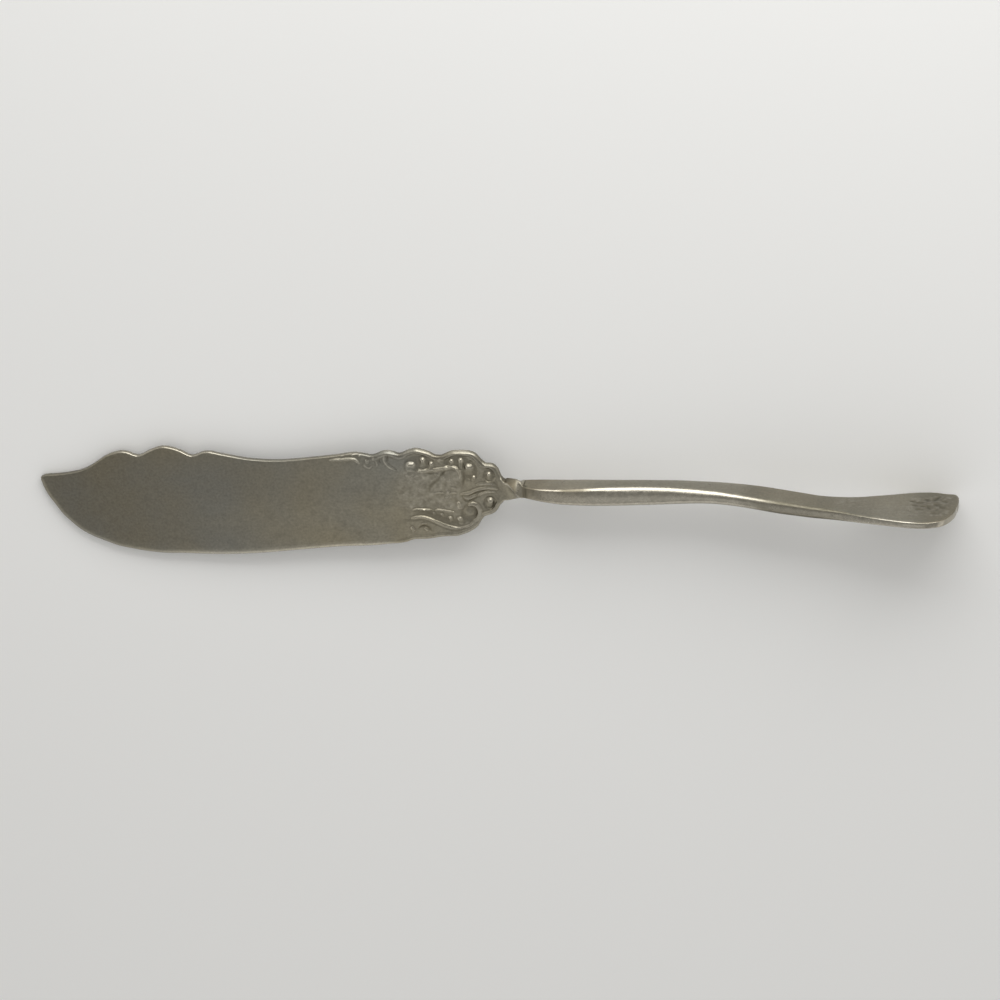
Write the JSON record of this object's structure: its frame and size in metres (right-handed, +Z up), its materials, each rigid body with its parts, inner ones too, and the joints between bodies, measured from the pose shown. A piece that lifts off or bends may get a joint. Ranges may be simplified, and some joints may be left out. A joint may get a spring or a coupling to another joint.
{
  "type": "butter knife",
  "caption": "Serving butter knife with a flat scalloped blade, a scroll-and-bead shoulder and a neck turned a quarter turn into a slim handle that widens to a flat end.",
  "frame": {"origin": "on the table, under the centre of the knife's bounding box as it lies at rest", "axes": "+X along the knife from the blade's tip to the handle's end, +Y toward the scalloped back of the blade, +Z up from the table"},
  "size_m": [0.1858, 0.024, 0.0158],
  "materials": {
    "blade_silver": "satin silver plate, worn and lightly tarnished, dark in the recesses",
    "handle_silver": "satin silver plate, worn bright on the edges",
    "solder": "tarnished hard solder"
  },
  "bodies": {
    "root": {"blade": "blade_silver", "handle": "handle_silver", "solder_joint": "solder"}
  },
  "joints": []
}
